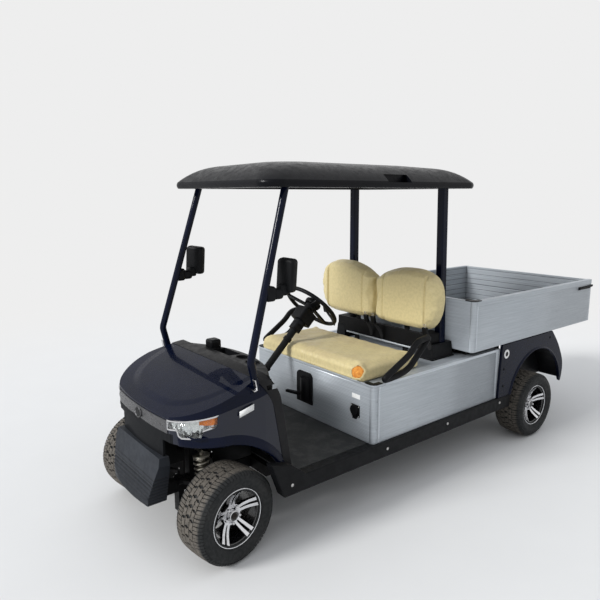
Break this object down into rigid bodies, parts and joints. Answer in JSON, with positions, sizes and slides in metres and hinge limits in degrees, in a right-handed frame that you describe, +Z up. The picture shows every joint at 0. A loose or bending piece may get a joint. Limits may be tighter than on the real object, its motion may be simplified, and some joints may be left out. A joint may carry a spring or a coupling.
{
  "type": "utility golf cart",
  "caption": "Open two-seat electric utility cart with a canopy on tube pillars, bench seat, ribbed aluminium load bed with drop tailgate, steered front wheels.",
  "frame": {"origin": "on the floor under the middle of the vehicle's bounding box", "axes": "+Z up, +X to the vehicle's left, -Y forward"},
  "size_m": [1.284, 3.618, 1.9159],
  "materials": {
    "pillar_paint": "gloss",
    "frame_paint": "satin",
    "body_gloss": "gloss",
    "black_plastic": "matte",
    "roof_plastic": "satin",
    "grey_plastic": "matte",
    "trim_plastic": "satin",
    "case_plastic": "matte",
    "floor_rubber": "matte",
    "ribbed_aluminium": "satin",
    "bed_floor_metal": "satin",
    "alloy_rim": "machined",
    "tyre_rubber": "matte",
    "cast_knuckle": "rough",
    "spring_steel": "satin",
    "chrome_band": "polished",
    "lamp_glass": "clear",
    "lamp_red": "gloss",
    "beige_vinyl": "satin"
  },
  "bodies": {
    "chassis": {"a_pillars": "pillar_paint", "armrests": "black_plastic", "b_pillar_left": "pillar_paint", "b_pillar_right": "pillar_paint", "battery_block": "case_plastic", "bed_bearers": "frame_paint", "bed_floor": "bed_floor_metal", "bed_front": "ribbed_aluminium", "bed_latches": "black_plastic", "bed_side_left": "ribbed_aluminium", "bed_side_right": "ribbed_aluminium", "bumper": "grey_plastic", "charge_socket": "black_plastic", "coil_overs": "spring_steel", "cowl_trim": "trim_plastic", "dash": "black_plastic", "floor": "floor_rubber", "frame_crossmembers": "frame_paint", "frame_rail_left": "frame_paint", "frame_rail_right": "frame_paint", "front_arms": "frame_paint", "front_fenders": "body_gloss", "front_subframe": "frame_paint", "headlamp_left": "lamp_glass", "headlamp_right": "lamp_glass", "hood": "body_gloss", "leaf_springs": "spring_steel", "mirrors": "black_plastic", "nose_band": "chrome_band", "pedals": "black_plastic", "pillar_boots": "black_plastic", "rear_axle": "cast_knuckle", "rear_fender_left": "black_plastic", "rear_fender_right": "black_plastic", "roof": "roof_plastic", "seat_back": "beige_vinyl", "seat_back_frame": "frame_paint", "seat_box_front": "ribbed_aluminium", "seat_box_rear": "ribbed_aluminium", "seat_box_sides": "ribbed_aluminium", "seat_cushion": "beige_vinyl", "seat_deck": "black_plastic", "shift_panel": "black_plastic", "sill_left": "black_plastic", "sill_right": "black_plastic", "steering_column": "black_plastic", "tail_lamps": "lamp_red"},
    "knuckle_left": {"knuckle_left": "cast_knuckle"},
    "knuckle_right": {"knuckle_right": "cast_knuckle"},
    "wheel_front_left": {"tyre_front_left": "tyre_rubber", "rim_front_left": "alloy_rim"},
    "wheel_front_right": {"tyre_front_right": "tyre_rubber", "rim_front_right": "alloy_rim"},
    "wheel_rear_left": {"tyre_rear_left": "tyre_rubber", "rim_rear_left": "alloy_rim"},
    "wheel_rear_right": {"tyre_rear_right": "tyre_rubber", "rim_rear_right": "alloy_rim"},
    "steering_wheel": {"steering_wheel": "black_plastic"},
    "tie_rod": {"tie_rod": "frame_paint"},
    "tailgate": {"tailgate": "ribbed_aluminium"}
  },
  "joints": [
    {"name": "steer_left", "type": "hinge", "parent": "chassis", "child": "knuckle_left", "pos_m": [0.345, -1.51, 0.232], "axis": [0, 0, 1], "range_deg": [-37, 23]},
    {"name": "steer_right", "type": "hinge", "parent": "chassis", "child": "knuckle_right", "pos_m": [-0.345, -1.51, 0.232], "axis": [0, 0, 1], "range_deg": [-37, 23]},
    {"name": "spin_front_left", "type": "hinge", "parent": "knuckle_left", "child": "wheel_front_left", "pos_m": [0.44177, -1.49812, 0.232], "axis": [0.9925, 0.1219, 0], "continuous": true},
    {"name": "spin_front_right", "type": "hinge", "parent": "knuckle_right", "child": "wheel_front_right", "pos_m": [-0.44177, -1.52188, 0.232], "axis": [0.9925, 0.1219, 0], "continuous": true},
    {"name": "spin_rear_left", "type": "hinge", "parent": "chassis", "child": "wheel_rear_left", "pos_m": [0.5375, 0.998, 0.232], "axis": [1, 0, 0], "continuous": true},
    {"name": "spin_rear_right", "type": "hinge", "parent": "chassis", "child": "wheel_rear_right", "pos_m": [-0.5375, 0.998, 0.232], "axis": [1, 0, 0], "continuous": true},
    {"name": "steering_wheel_turn", "type": "hinge", "parent": "chassis", "child": "steering_wheel", "pos_m": [-0.2, -0.43091, 1.01613], "axis": [0, 0.7197, 0.6943], "range_deg": [-371, 231]},
    {"name": "tie_rod_slide", "type": "slide", "parent": "chassis", "child": "tie_rod", "axis": [1, 0, 0], "range_m": [-0.057, 0.091]},
    {"name": "tailgate_drop", "type": "hinge", "parent": "chassis", "child": "tailgate", "pos_m": [0, 1.8, 0.736], "axis": [-1, 0, 0], "range_deg": [0, 175]}
  ],
  "couplings": [
    {"joint": "steer_right", "follows": "steer_left", "ratio": 1},
    {"joint": "steering_wheel_turn", "follows": "steer_left", "ratio": 10},
    {"joint": "tie_rod_slide", "follows": "steer_left", "m_per_rad": -0.13896}
  ]
}
